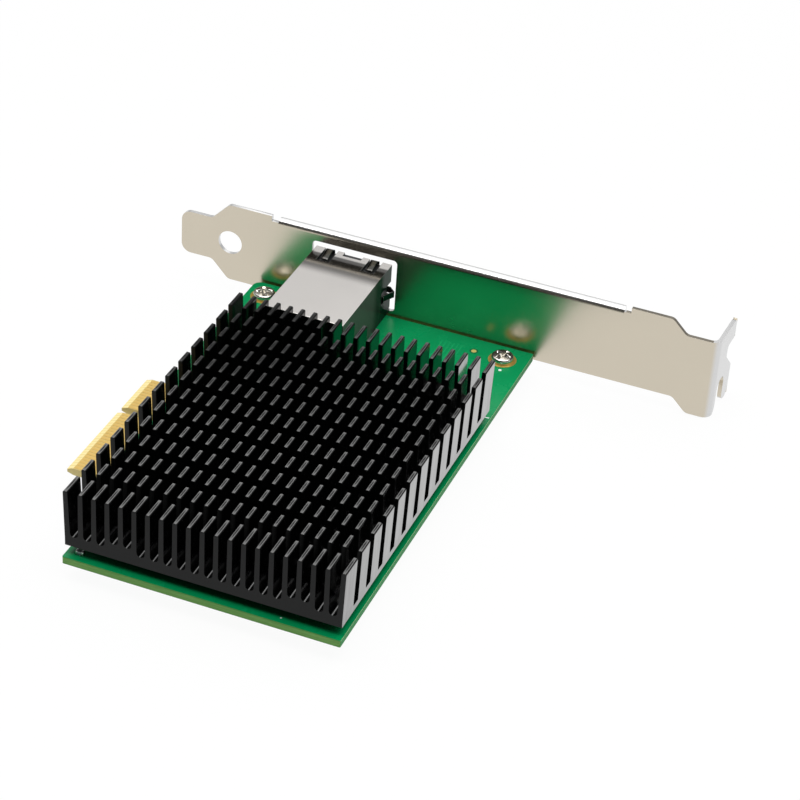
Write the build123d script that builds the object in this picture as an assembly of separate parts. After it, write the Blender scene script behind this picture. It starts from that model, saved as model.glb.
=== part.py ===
from build123d import *
import math
import os

# A single-port network interface card on a short four-lane card edge, with a full-height
# bracket and a cross-cut heat sink over its component side. Millimetres.
# Frame: the origin is on the card edge's end, at the centre of its key slot, level with the
# component face of the board. +X runs up the card, away from the card edge, +Y runs along
# the card towards the bracket, and +Z leaves the component face.

# circuit board
board_height = 68.1
board_length = 104.0
board_thickness = 1.57
board_corner_r = 0.25
board_bracket_corner_r = 1.8
board_inner_corner_r = 0.6
free_end_inset = 12.3
shoulder = 4.3

# card edge
key_to_bracket = 57.15
key_width = 1.9
key_depth = 8.25
short_run = 11.2
long_run = 21.2
edge_bevel_depth = 0.45
edge_bevel_length = 1.3
contact_pitch = 1.0
contact_width = 0.7
contact_length = 5.2
contact_setback = 1.4
contact_thickness = 0.06
short_contacts = 11
long_contacts = 21
key_to_first_contact = 0.55

# bracket plate
bracket_length = 120.88
bracket_width = 18.42
bracket_sheet = 0.86
bracket_below_board = 0.15
board_gap = 0.57
tab_outer_face = 106.93
tongue_width = 10.19
tongue_length = 7.25
tongue_slope = 3.9
tongue_corner_r = 2.2
outline_r = 1.6
locating_hole_r = 2.75
locating_hole_from_tip = 11.55

# bracket tab
tab_shift = 3.17
tab_shift_from_face = 10.33
tab_low_shift_from_face = 8.48
tab_reach = 11.43
tab_lean = 2.5
tab_bend_r = 1.2
tab_corner_r = 1.1
tab_slot_width = 4.42
tab_slot_from_plate = 5.15
tab_slot_depth = 7.3
tab_slot_lip_r = 1.9
tab_lobe_r = 1.9
tab_notch_depth = 4.4
tab_notch_from_top = 4.4
tab_notch_floor = 2.6
tab_notch_run = 4.2
tab_notch_r = 1.0
tab_notch_corner_r = 0.9

# stiffening flange along the bracket's upper edge
flange_start = 22.65
flange_length = 77.5
flange_drop = 0.6
flange_reach = 1.6
flange_bend_r = 0.35
flange_corner_r = 0.3
flange_relief = 1.5
flange_relief_depth = 1.25
fold_overlap = 0.1

# bracket ears under the board, and their screws
ear_from_board_end = 5.0
ear_from_shoulder = 4.1
ear_from_far_edge = 5.2
ear_width = 7.4
ear_beyond_hole = 3.4
ear_corner_r = 3.0
ear_bend_r = 0.4
ear_relief = 0.9
ear_relief_rise = 0.3
ear_collar_r = 2.0
ear_collar_height = 0.9
screw_r = 1.2
thread_clearance = 0.03
screw_end = 0.4
screw_head_r = 2.35
screw_head_height = 1.5
screw_head_edge_r = 0.55
screw_recess_width = 0.75
screw_recess_span = 2.7
screw_recess_depth = 0.95
board_hole_r = 1.4
pad_r = 3.0
pad_thickness = 0.06

# window in the bracket
window_low_gap = 0.5
window_high_gap = 1.5
window_top_gap = 1.75
window_floor = 0.95
window_corner_r = 0.9

# heat sink
fin_count = 21
fin_pitch = 2.72
fin_thickness = 1.0
outer_fin_lean = 0.35
row_count = 13
row_length = 3.55
end_row_length = 5.1
crosscut_width = 2.25
sink_height = 12.25
sink_gap = 2.0
sink_from_free_end = 1.15
sink_from_far_edge = 0.35
gap_floor = 2.2
rib_floor = 3.35
crosscut_floor = 1.3
gap_root = 0.5
fin_count_before_rib = 4
fin_count_after_rib = 3
screw_row = 1
sink_bore_depth = 4.2
sink_thread_length = 3.6
spacer_r = 2.6
washer_r = 3.0
washer_thickness = 0.4

# socket
socket_width = 17.4
socket_height = 11.7
socket_length = 26.8
socket_beyond_bracket = 1.1
socket_centre = 26.0
socket_nose_gap = 0.1
shield_wall = 0.25
latch_recess_width = 4.2
latch_recess_depth = 1.5
finger_offset = 5.1
finger_slot_width = 2.9
finger_slot_length = 5.3
finger_width = 1.5
finger_length = 4.4
finger_rise = 0.85
finger_dip = 0.1
finger_tip_rise = 0.4
finger_drop = 0.8
finger_press = 0.06
side_slot_height = 6.0
side_slot_width = 3.0
side_finger_height = 5.5
port_width = 11.9
port_floor = 1.7
port_height = 7.0
port_depth = 14.5
latch_width = 6.2
latch_step = 1.2
latch_inner_width = 3.6
latch_rise = 1.1
housing_length = 17.5
housing_clearance = 0.05
wire_count = 8
wire_pitch = 1.02
wire_width = 0.4
wire_thickness = 0.3
wire_flat = 2.0
wire_rise = 3.2
wire_run = 7.0
wire_from_face = 2.0
light_width = 2.9
light_height = 1.7
light_length = 2.5
light_from_side = 0.55
light_from_top = 0.45
pin_side = 0.5
pin_count = 6
pin_pitch = 2.54
pin_row_spacing = 2.54
pin_from_back = 5.0
pin_below = 1.3
pin_hole_r = 0.45
peg_r = 1.6
peg_spacing = 11.4
peg_from_face = 11.0
peg_clearance = 0.05
peg_below = 0.4
leg_width = 1.5
leg_from_face = 8.6
leg_hole_r = 0.95

# parts on the board under the heat sink, placed from the heat sink's corner at the free end
chip_side = 17.0
chip_base_height = 0.7
chip_lid_side = 11.0
chip_lid_height = 0.6
chip_from_sink = (28.55, 40.27)
memory_size = (5.2, 4.0, 1.5)
memory_from_sink = (15.55, 16.27)
crystal_size = (3.2, 2.5, 0.8)
crystal_from_sink = (39.55, 56.27)
inductor_size = (4.0, 4.0, 1.75)
inductor_corner_r = 0.6
inductor_count = 3
inductor_pitch = 6.5
inductors_from_sink = (21.55, 8.27)
regulator_size = (3.5, 3.5, 0.9)
regulators_from_sink = ((24.75, 15.27), (31.55, 15.27))
capacitor_size = (1.25, 2.0, 1.2)
capacitors_from_sink = (
    (17.55, 8.27), (38.55, 8.27), (21.05, 15.27), (28.15, 15.27),
    (35.25, 15.27), (16.55, 38.27), (16.55, 42.27), (41.05, 38.27),
    (41.05, 42.27), (25.55, 54.27), (31.55, 54.27),
)
edge_capacitor_size = (1.6, 0.8, 0.8)
edge_capacitor_from_sink = (2.65, 0.9)
rear_capacitor_size = (0.6, 1.1, 0.6)
rear_count = 4
rear_pitch = (3.2, 3.4)
moulded_edge = 0.15

# sizes worked out from the ones above
spare = 1.0
board_end = key_to_bracket - board_gap
free_end = board_end - board_length
board_under = -board_thickness
short_end = key_width / 2 + short_run
long_end = -key_width / 2 - long_run
bracket_outer = key_to_bracket + bracket_sheet
bracket_low = board_under - bracket_below_board
bracket_high = bracket_low + bracket_width
bracket_middle = (bracket_low + bracket_high) / 2
tongue_tip = tab_outer_face - bracket_length
tab_low = bracket_low - tab_shift
tab_high = bracket_high - tab_shift
tab_end = key_to_bracket + tab_reach
flange_x0 = tongue_tip + flange_start
flange_x1 = flange_x0 + flange_length
flange_top = bracket_high - flange_drop
ear_top = board_under - pad_thickness
ear_low = ear_top - bracket_sheet
ear_y = board_end - ear_from_board_end
ear_xs = (shoulder + ear_from_shoulder, board_height - ear_from_far_edge)
ear_relief_top = ear_low + ear_bend_r + bracket_sheet + ear_relief_rise
sink_width = (fin_count - 1) * fin_pitch + fin_thickness
row_pitch = row_length + crosscut_width
sink_length = 2 * end_row_length + (row_count - 2) * row_length + (row_count - 1) * crosscut_width
sink_x0 = board_height - sink_from_far_edge - sink_width
sink_y0 = free_end + sink_from_free_end
sink_top = sink_gap + sink_height
socket_face = key_to_bracket + socket_beyond_bracket
socket_back = socket_face - socket_length
socket_x0 = socket_centre - socket_width / 2
socket_x1 = socket_centre + socket_width / 2
nose_floor = window_floor + socket_nose_gap
nose_start = key_to_bracket - socket_nose_gap
insert_gap = shield_wall + housing_clearance
chip_height = chip_base_height + chip_lid_height
washer_low = board_under - washer_thickness


def block(x0, x1, y0, y1, z0, z1):
    """A box between two corners."""
    return Pos((x0 + x1) / 2, (y0 + y1) / 2, (z0 + z1) / 2) * Box(x1 - x0, y1 - y0, z1 - z0)


def centred(x, y, size, low):
    """A box centred in plan that stands on a level."""
    wide, deep, high = size
    return block(x - wide / 2, x + wide / 2, y - deep / 2, y + deep / 2, low, low + high)


def from_sink(offset):
    """A place on the board given from the heat sink's corner."""
    return sink_x0 + offset[0], sink_y0 + offset[1]


def drum(x, y, z0, z1, r):
    """An upright cylinder between two levels."""
    return Pos(x, y, (z0 + z1) / 2) * Cylinder(r, z1 - z0)


def tube(x, y, z0, z1, r, bore):
    """An upright cylinder with a hole through it."""
    return drum(x, y, z0, z1, r) - drum(x, y, z0 - spare, z1 + spare, bore)


def rod_along_x(x0, x1, y, z, r):
    """A cylinder that lies along X."""
    return Pos((x0 + x1) / 2, y, z) * Rot(0, 90, 0) * Cylinder(r, x1 - x0)


def raised(points, z0, z1):
    """A plan outline raised between two levels."""
    return extrude(Pos(0, 0, z0) * Polygon(*points, align=None), amount=z1 - z0, dir=(0, 0, 1))


def along_x(points, x0, x1):
    """An outline in Y and Z carried along X."""
    plane = Plane((x0, 0, 0), x_dir=(0, 1, 0), z_dir=(1, 0, 0))
    return extrude(plane * Polygon(*points, align=None), amount=x1 - x0, dir=(1, 0, 0))


def along_y(points, y0, y1):
    """An outline in X and Z carried along Y."""
    plane = Plane((0, y0, 0), x_dir=(1, 0, 0), z_dir=(0, -1, 0))
    return extrude(plane * Polygon(*points, align=None), amount=y1 - y0, dir=(0, 1, 0))


def round_upright(shape, x, y, r):
    """Rounds the one edge along Z that stands at a place in plan."""
    edges = shape.edges().filter_by(Axis.Z)
    return fillet(edges.sort_by_distance((x, y, edges[0].center().Z))[0], r)


def moulded(x, y, size, low=0.0):
    """A small moulded part with eased upper edges."""
    body = centred(x, y, size, low)
    return chamfer(body.faces().sort_by(Axis.Z)[-1].edges(), moulded_edge)


def fin_x(index):
    """The lower X of one fin."""
    return sink_x0 + index * fin_pitch


def row_span(index):
    """Where one row of fins starts and ends along Y."""
    if index == 0:
        return sink_y0, sink_y0 + end_row_length
    start = sink_y0 + end_row_length + crosscut_width + (index - 1) * row_pitch
    length = end_row_length if index == row_count - 1 else row_length
    return start, start + length


def rib_fins():
    """The two fins, one near each side, whose neighbouring gaps are shallow."""
    return fin_count_before_rib, fin_count - 1 - fin_count_after_rib


def sink_screw_places():
    """The four screws stand under the shallow gaps, near each end of the heat sink."""
    rows = [sum(row_span(row)) / 2 for row in (screw_row, row_count - 1 - screw_row)]
    return [(fin_x(fin) + fin_thickness / 2, y) for fin in rib_fins() for y in rows]


def pin_places():
    """Two staggered rows of socket pins."""
    y = socket_back + pin_from_back
    first = socket_centre - (pin_count - 1) * pin_pitch / 2 - pin_pitch / 4
    return [(first + k * pin_pitch + row * pin_pitch / 2, y + row * pin_row_spacing)
            for row in range(2) for k in range(pin_count)]


def peg_places():
    """The two locating pegs under the socket."""
    return [(socket_centre + side * peg_spacing / 2, socket_face - peg_from_face) for side in (-1, 1)]


def leg_places():
    """The shield's two soldered legs, in line with its side walls."""
    y = socket_face - leg_from_face
    return [(socket_x0 + shield_wall / 2, y), (socket_x1 - shield_wall / 2, y)]


def board_holes():
    """Every round hole through the board, with its radius."""
    holes = [(x, ear_y, board_hole_r) for x in ear_xs]
    holes += [(x, y, board_hole_r) for x, y in sink_screw_places()]
    holes += [(x, y, pin_hole_r) for x, y in pin_places()]
    holes += [(x, y, peg_r + peg_clearance) for x, y in peg_places()]
    holes += [(x, y, leg_hole_r) for x, y in leg_places()]
    return holes


def board_outline():
    """The board in plan, with its shoulder, card edge and stepped free end."""
    board = raised([
        (shoulder, board_end), (shoulder, short_end), (0, short_end), (0, long_end),
        (free_end_inset, long_end), (free_end_inset, free_end), (board_height, free_end),
        (board_height, board_end),
    ], board_under, 0)
    board = round_upright(board, shoulder, board_end, board_bracket_corner_r)
    for x, y in ((board_height, board_end), (board_height, free_end), (free_end_inset, free_end)):
        board = round_upright(board, x, y, board_corner_r)
    for x, y in ((free_end_inset, long_end), (shoulder, short_end)):
        board = round_upright(board, x, y, board_inner_corner_r)
    return board


def circuit_board():
    """The board with its key slot, bevelled card edge and holes."""
    board = board_outline()
    slot_end = key_depth - key_width / 2
    low = board_under - spare
    board -= block(-spare, slot_end, -key_width / 2, key_width / 2, low, spare)
    board -= drum(slot_end, 0, low, spare, key_width / 2)
    upper = [(0, 0), (edge_bevel_length, 0), (0, -edge_bevel_depth)]
    lower = [(x, board_under - z) for x, z in upper]
    for bevel in (upper, lower):
        board -= along_y(bevel, long_end - spare, short_end + spare)
    for x, y, r in board_holes():
        board -= drum(x, y, low, spare, r)
    return board


def edge_contacts(low):
    """The gold contacts of one side of the card edge, on a level."""
    first = key_width / 2 + key_to_first_contact
    ys = [first + k * contact_pitch for k in range(short_contacts)]
    ys += [-first - k * contact_pitch for k in range(long_contacts)]
    middle = contact_setback + contact_length / 2
    return [centred(middle, y, (contact_length, contact_width, contact_thickness), low) for y in ys]


def screw_pads(low):
    """Gold rings round the two bracket screws."""
    return [tube(x, ear_y, low, low + pad_thickness, pad_r, board_hole_r) for x in ear_xs]


def sheet_fold(leg_a, leg_b, bend_r, turn=90.0):
    """Section of folded sheet: leg A runs up to the bend at the origin, leg B leaves it."""
    outer_r = bend_r + bracket_sheet
    outer = CenterArc((outer_r, 0), outer_r, 180, -turn)
    inner = CenterArc((outer_r, 0), bend_r, 180, -turn)
    angle = math.radians(turn)
    run = Vector(math.sin(angle), math.cos(angle)) * leg_b
    return make_face([
        Line((0, -leg_a), outer @ 0), outer, Line(outer @ 1, outer @ 1 + run),
        Line(outer @ 1 + run, inner @ 1 + run), Line(inner @ 1 + run, inner @ 1), inner,
        Line(inner @ 0, (bracket_sheet, -leg_a)), Line((bracket_sheet, -leg_a), (0, -leg_a)),
    ])


def bracket_outline():
    """The bracket's front view: tongue, shoulders, plate and the step down to the tab."""
    tongue_end = tongue_tip + tongue_length
    plate = tongue_end + tongue_slope
    half = tongue_width / 2
    step_high = tab_outer_face - tab_shift_from_face
    step_low = tab_outer_face - tab_low_shift_from_face
    far = tab_outer_face + tab_reach
    shape = along_y([
        (tongue_tip, bracket_middle - half), (tongue_end, bracket_middle - half),
        (plate, bracket_low), (step_low, bracket_low), (step_low + tab_shift, tab_low),
        (far, tab_low), (far, tab_high), (step_high + tab_shift, tab_high),
        (step_high, bracket_high), (plate, bracket_high), (tongue_end, bracket_middle + half),
        (tongue_tip, bracket_middle + half),
    ], key_to_bracket - spare, tab_end + spare)
    middle = shape.center().Y
    for x, z, r in (
        (tongue_tip, bracket_middle - half, tongue_corner_r),
        (tongue_tip, bracket_middle + half, tongue_corner_r),
        (tongue_end, bracket_middle - half, outline_r), (tongue_end, bracket_middle + half, outline_r),
        (plate, bracket_low, outline_r), (plate, bracket_high, outline_r),
        (step_low, bracket_low, outline_r), (step_low + tab_shift, tab_low, outline_r),
        (step_high, bracket_high, outline_r), (step_high + tab_shift, tab_high, outline_r),
    ):
        shape = fillet(shape.edges().filter_by(Axis.Y).sort_by_distance((x, middle, z))[0], r)
    return shape


def plate_and_tab():
    """The plate, its bend and the tab that leans a little outwards, before cutting."""
    turn = 90.0 - tab_lean
    angle = math.radians(turn)
    outer_r = tab_bend_r + bracket_sheet
    tab_length = (tab_reach - outer_r * (1 - math.cos(angle))) / math.sin(angle)
    bend_x = tab_outer_face - outer_r * math.sin(angle)
    section = sheet_fold(bend_x - tongue_tip, tab_length, tab_bend_r, turn)
    plane = Plane((bend_x, key_to_bracket, bracket_high), x_dir=(0, 1, 0), z_dir=(0, 0, -1))
    return extrude(plane * section, amount=bracket_high - tab_low, dir=(0, 0, -1))


def corner_waste(x0, x1, y, z, to_y, to_z, r):
    """What a rounded corner takes off the tab: to_y and to_z point from it into the metal."""
    y1 = y + to_y * r
    z1 = z + to_z * r
    square = block(x0, x1, min(y, y1), max(y, y1), min(z, z1), max(z, z1))
    return square - rod_along_x(x0 - spare, x1 + spare, y1, z1, r)


def tab_waste():
    """The screw slot with its rounded lips, the outer notch and the tab's rounded corners."""
    x0 = tab_outer_face - tab_bend_r - bracket_sheet - spare
    x1 = tab_outer_face + tab_bend_r + spare
    slot_y = key_to_bracket + tab_slot_from_plate
    half = tab_slot_width / 2
    slot_top = tab_low + tab_slot_depth - half
    slot_x0 = tab_outer_face - tab_bend_r - bracket_sheet
    waste = block(slot_x0, x1, slot_y - half, slot_y + half, tab_low - spare, slot_top)
    waste += rod_along_x(slot_x0, x1, slot_y, slot_top, half)
    waste += corner_waste(slot_x0, x1, slot_y - half, tab_low, -1, 1, tab_slot_lip_r)
    waste += corner_waste(slot_x0, x1, slot_y + half, tab_low, 1, 1, tab_slot_lip_r)
    waste += corner_waste(x0, x1, tab_end, tab_low, -1, 1, tab_lobe_r)
    waste += corner_waste(x0, x1, tab_end, tab_high, -1, -1, tab_corner_r)
    notch_high = tab_high - tab_notch_from_top
    notch_low = notch_high - tab_notch_floor
    notch = along_x([(tab_end - tab_notch_depth, notch_high), (tab_end - tab_notch_depth, notch_low),
                     (tab_end + tab_notch_depth, notch_low - 2 * tab_notch_run),
                     (tab_end + tab_notch_depth, notch_high)], x0, x1)
    inner = notch.edges().filter_by(Axis.X).sort_by(Axis.Y)[:2]
    waste += corner_waste(x0, x1, tab_end, notch_high, -1, 1, tab_notch_corner_r)
    return waste + fillet(inner, tab_notch_r)


def flange():
    """The stiffening edge, folded outwards along the plate's upper side."""
    outer_r = flange_bend_r + bracket_sheet
    section = sheet_fold(fold_overlap, flange_reach - outer_r, flange_bend_r)
    plane = Plane((flange_x0, key_to_bracket, flange_top - outer_r), x_dir=(0, 1, 0), z_dir=(1, 0, 0))
    strip = extrude(plane * section, amount=flange_length, dir=(1, 0, 0))
    end = key_to_bracket + flange_reach
    for x in (flange_x0, flange_x1):
        edges = strip.edges().filter_by(Axis.Z)
        strip = fillet(edges.sort_by_distance((x, end, flange_top))[0], flange_corner_r)
    return strip


def ear(x):
    """One ear: the sheet turned under the board, with a tapped collar on its lower side."""
    outer_r = ear_bend_r + bracket_sheet
    reach = bracket_outer - ear_y + ear_beyond_hole
    section = sheet_fold(ear_relief_rise + fold_overlap, reach - outer_r, ear_bend_r)
    plane = Plane((x - ear_width / 2, bracket_outer, ear_low + outer_r), x_dir=(0, -1, 0), z_dir=(1, 0, 0))
    strip = extrude(plane * section, amount=ear_width, dir=(1, 0, 0))
    end = bracket_outer - reach
    for side in (-1, 1):
        edges = strip.edges().filter_by(Axis.Z)
        corner = (x + side * ear_width / 2, end, ear_low)
        strip = fillet(edges.sort_by_distance(corner)[0], ear_corner_r)
    strip += drum(x, ear_y, ear_low - ear_collar_height, ear_low, ear_collar_r)
    return strip - drum(x, ear_y, ear_low - ear_collar_height - spare, spare, screw_r + thread_clearance)


def bracket_window():
    """The hole in the plate that the socket looks through."""
    top = socket_height + window_top_gap
    cutter = block(socket_x0 - window_low_gap, socket_x1 + window_high_gap,
                   key_to_bracket - spare, bracket_outer + spare, window_floor, top)
    return fillet(cutter.edges().filter_by(Axis.Y), window_corner_r)


def fold_waste():
    """What is cut from the flat plate round the flange and round each ear."""
    y0 = key_to_bracket - spare
    y1 = bracket_outer + spare
    flange_low = flange_top - flange_bend_r - bracket_sheet
    waste = block(flange_x0, flange_x1, y0, y1, flange_low, bracket_high + spare)
    waste += block(flange_x0 - flange_relief, flange_x1 + flange_relief, y0, y1,
                   bracket_high - flange_relief_depth, bracket_high + spare)
    for x in ear_xs:
        half = ear_width / 2 + ear_relief
        waste += block(x - half, x + half, y0, y1, tab_low, ear_relief_top)
    return waste


def bracket():
    """The whole folded bracket."""
    sheet = plate_and_tab() & bracket_outline()
    sheet -= tab_waste()
    sheet -= fold_waste()
    sheet += flange()
    for x in ear_xs:
        sheet += ear(x)
    sheet -= bracket_window()
    hole = Pos(tongue_tip + locating_hole_from_tip, key_to_bracket, bracket_middle)
    return sheet - hole * Rot(90, 0, 0) * Cylinder(locating_hole_r, 2 * (bracket_sheet + spare))


def pan_screw(shank):
    """A cross-recessed pan-head screw that stands head up on the origin."""
    head = drum(0, 0, 0, screw_head_height, screw_head_r)
    head = fillet(head.edges().sort_by(Axis.Z)[-1], screw_head_edge_r)
    low = screw_head_height - screw_recess_depth
    size = (screw_recess_span, screw_recess_width, 2 * screw_recess_depth)
    head -= centred(0, 0, size, low)
    head -= Rot(0, 0, 90) * centred(0, 0, size, low)
    return head + drum(0, 0, -shank, 0, screw_r)


def bracket_screws():
    """The two screws through the board into the ears' collars."""
    stack = 2 * pad_thickness + board_thickness + bracket_sheet + ear_collar_height
    screw = pan_screw(stack + screw_end)
    return [Pos(x, ear_y, pad_thickness) * screw for x in ear_xs]


def heatsink_screws():
    """The four screws from the solder side into the heat sink."""
    screw = Rot(180, 0, 0) * pan_screw(sink_gap - washer_low + sink_thread_length)
    return [Pos(x, y, washer_low) * screw for x, y in sink_screw_places()]


def heatsink_spacers():
    """Sleeves that hold the heat sink off the board."""
    return [tube(x, y, 0, sink_gap, spacer_r, board_hole_r) for x, y in sink_screw_places()]


def heatsink_washers():
    """Washers under the heat sink's screws."""
    return [tube(x, y, washer_low, board_under, washer_r, board_hole_r) for x, y in sink_screw_places()]


def sink_section():
    """The comb section of the heat sink before it is sawn across; its outermost fins lean out."""
    shallow = [gap for fin in rib_fins() for gap in (fin - 1, fin)]
    far_side = sink_x0 + sink_width
    bend = sink_gap + gap_floor
    points = [(sink_x0, sink_gap), (sink_x0, bend), (sink_x0 - outer_fin_lean, sink_top)]
    for gap in range(fin_count - 1):
        left = fin_x(gap) + fin_thickness
        right = fin_x(gap + 1)
        left_tip = left - (outer_fin_lean if gap == 0 else 0)
        right_tip = right + (outer_fin_lean if gap == fin_count - 2 else 0)
        floor = sink_gap + (rib_floor if gap in shallow else gap_floor)
        points += [(left_tip, sink_top), (left, floor + gap_root), (left + gap_root, floor)]
        points += [(right - gap_root, floor), (right, floor + gap_root), (right_tip, sink_top)]
    return points + [(far_side + outer_fin_lean, sink_top), (far_side, bend), (far_side, sink_gap)]


def heatsink():
    """The finned extrusion, sawn across into rows, with four tapped holes below."""
    sink = along_y(sink_section(), sink_y0, sink_y0 + sink_length)
    cuts = [row_span(row)[1] for row in range(row_count - 1)]
    sink -= [block(sink_x0 - spare, sink_x0 + sink_width + spare, start, start + crosscut_width,
                   sink_gap + crosscut_floor, sink_top + spare) for start in cuts]
    sink -= [drum(x, y, 0, sink_gap + sink_bore_depth, screw_r + thread_clearance)
             for x, y in sink_screw_places()]
    return sink


def spring_finger(rise):
    """A spring finger over the origin: folded back from the front edge, humped, tip raised."""
    line = [(0, -finger_drop), (0, 0), (-finger_length / 3, rise),
            (-finger_length, -finger_dip), (-finger_length - 2 * shield_wall, finger_tip_rise)]
    lower = [(y - shield_wall, z) if z <= 0 and y == 0 else (y, z - shield_wall) for y, z in line]
    return along_x(line + lower[::-1], -finger_width / 2, finger_width / 2)


def light_places():
    """The lower X of each light pipe."""
    left = socket_x0 + insert_gap + light_from_side
    return left, 2 * socket_centre - left - light_width


def light_floor():
    """The lower Z of the light pipes."""
    return socket_height - insert_gap - light_from_top - light_height


def port_shape(y0, y1):
    """The stepped outline of the plug's opening, carried between two places along Y."""
    top = port_floor + port_height
    rows = ((port_width, port_floor, top), (latch_width, top - spare, top + latch_step),
            (latch_inner_width, top - spare, top + latch_step + latch_rise))
    parts = [block(socket_centre - wide / 2, socket_centre + wide / 2, y0, y1, z0, z1)
             for wide, z0, z1 in rows]
    return parts[0] + parts[1] + parts[2]


def shield_openings():
    """Everything cut from the shield: its open front, recess, finger slots and nose."""
    front = socket_face - shield_wall - spare
    over = socket_face + spare
    cuts = [port_shape(front, over)]
    cuts.append(block(socket_centre - latch_recess_width / 2, socket_centre + latch_recess_width / 2,
                      socket_face - latch_recess_depth, over, port_floor, socket_height + spare))
    for x in light_places():
        cuts.append(block(x, x + light_width, front, over, light_floor(), light_floor() + light_height))
    slot_start = socket_face - finger_slot_length
    for side in (-1, 1):
        x = socket_centre + side * finger_offset
        cuts.append(block(x - finger_slot_width / 2, x + finger_slot_width / 2, slot_start, over,
                          socket_height - finger_drop, socket_height + spare))
    for x in (socket_x0, socket_x1):
        cuts.append(block(x - finger_drop, x + finger_drop, slot_start, over,
                          side_slot_height - side_slot_width / 2, side_slot_height + side_slot_width / 2))
    cuts.append(block(socket_x0 - spare, socket_x1 + spare, nose_start, over, -spare, nose_floor))
    return cuts


def jack_shield():
    """The folded metal shield with its openings, spring fingers and soldered legs."""
    shell = block(socket_x0, socket_x1, socket_back, socket_face, 0, socket_height)
    shell -= block(socket_x0 + shield_wall, socket_x1 - shield_wall, socket_back + shield_wall,
                   socket_face - shield_wall, -spare, socket_height - shield_wall)
    shell -= shield_openings()
    for side, gap in ((-1, window_low_gap), (1, window_high_gap)):
        top = Pos(socket_centre + side * finger_offset, socket_face, socket_height)
        shell += top * spring_finger(finger_rise)
        flank = Pos(socket_centre + side * socket_width / 2, socket_face, side_finger_height)
        shell += flank * Rot(0, side * 90, 0) * spring_finger(gap - finger_press)
    for x, y in leg_places():
        shell += centred(x, y, (shield_wall, leg_width, board_thickness + pin_below + spare),
                         board_under - pin_below)
    return shell


def insert_pockets():
    """Room in the insert for the light pipes and for the fingers to spring inwards."""
    front = socket_face + spare
    cuts = [block(x, x + light_width, socket_face - insert_gap - light_length, front,
                  light_floor(), light_floor() + light_height) for x in light_places()]
    start = socket_face - finger_slot_length
    for side in (-1, 1):
        x = socket_centre + side * finger_offset
        cuts.append(block(x - finger_slot_width / 2, x + finger_slot_width / 2, start, front,
                          socket_height - insert_gap - housing_clearance - finger_dip - shield_wall,
                          socket_height))
    for x in (socket_x0, socket_x1):
        half = insert_gap + housing_clearance + finger_dip + shield_wall
        cuts.append(block(x - half, x + half, start, front, side_slot_height - side_slot_width / 2,
                          side_slot_height + side_slot_width / 2))
    cuts.append(block(socket_x0, socket_x1, nose_start, front, -spare, nose_floor))
    return cuts


def jack_housing():
    """The moulded insert with the plug's cavity, the latch way and two locating pegs."""
    front = socket_face - insert_gap
    body = block(socket_x0 + insert_gap, socket_x1 - insert_gap, front - housing_length, front,
                 0, socket_height - insert_gap)
    body -= port_shape(front - port_depth, front + spare)
    body -= insert_pockets()
    for x, y in peg_places():
        body += drum(x, y, board_under - peg_below, 0, peg_r)
    return body


def jack_wires():
    """Eight spring wires that lie on the cavity's floor, then rise towards its back."""
    front = socket_face - wire_from_face
    line = [(front, port_floor), (front - wire_flat, port_floor),
            (front - wire_flat - wire_run, port_floor + wire_rise)]
    upper = [(y, z + wire_thickness) for y, z in line]
    first = socket_centre - (wire_count - 1) / 2 * wire_pitch
    xs = [first + k * wire_pitch for k in range(wire_count)]
    return [along_x(line + upper[::-1], x - wire_width / 2, x + wire_width / 2) for x in xs]


def jack_magnetics():
    """The potted block of windings behind the insert."""
    front = socket_face - insert_gap - housing_length - housing_clearance
    return block(socket_x0 + insert_gap, socket_x1 - insert_gap, socket_back + insert_gap, front,
                 0, socket_height - insert_gap)


def jack_pins():
    """Square pins of the socket, soldered through the board."""
    length = board_thickness + pin_below
    return [centred(x, y, (pin_side, pin_side, length), -length) for x, y in pin_places()]


def jack_light_pipes():
    """Two clear blocks that rest in pockets of the insert's face."""
    front = socket_face - insert_gap
    return [block(x + housing_clearance, x + light_width - housing_clearance,
                  front - light_length + housing_clearance, front,
                  light_floor(), light_floor() + light_height - housing_clearance)
            for x in light_places()]


def controller_chip():
    """The controller: a flat base with a smaller lid."""
    place = from_sink(chip_from_sink)
    base = centred(*place, (chip_side, chip_side, chip_base_height), 0)
    return base + moulded(*place, (chip_lid_side, chip_lid_side, chip_lid_height), chip_base_height)


def controller_thermal_pad():
    """The soft pad between the controller's lid and the heat sink."""
    size = (chip_lid_side, chip_lid_side, sink_gap - chip_height)
    return centred(*from_sink(chip_from_sink), size, chip_height)


def power_inductors():
    """A row of low inductors with rounded corners."""
    x0, y = from_sink(inductors_from_sink)
    parts = [centred(x0 + k * inductor_pitch, y, inductor_size, 0) for k in range(inductor_count)]
    return [fillet(part.edges().filter_by(Axis.Z), inductor_corner_r) for part in parts]


def edge_capacitor():
    """The capacitor in the free end's corner near the card edge."""
    return centred(*from_sink(edge_capacitor_from_sink), edge_capacitor_size, 0)


def rear_capacitors():
    """A square grid of capacitors on the solder side, behind the controller."""
    low = board_under - rear_capacitor_size[2]
    offsets = [k - (rear_count - 1) / 2 for k in range(rear_count)]
    x, y = from_sink(chip_from_sink)
    return [centred(x + i * rear_pitch[0], y + j * rear_pitch[1], rear_capacitor_size, low)
            for i in offsets for j in offsets]


def write(name, solids):
    """Writes one node; like pieces share a node as separate solids."""
    shape = Compound(children=solids) if isinstance(solids, list) else solids
    export_step(shape, "parts/" + name + ".step")


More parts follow.
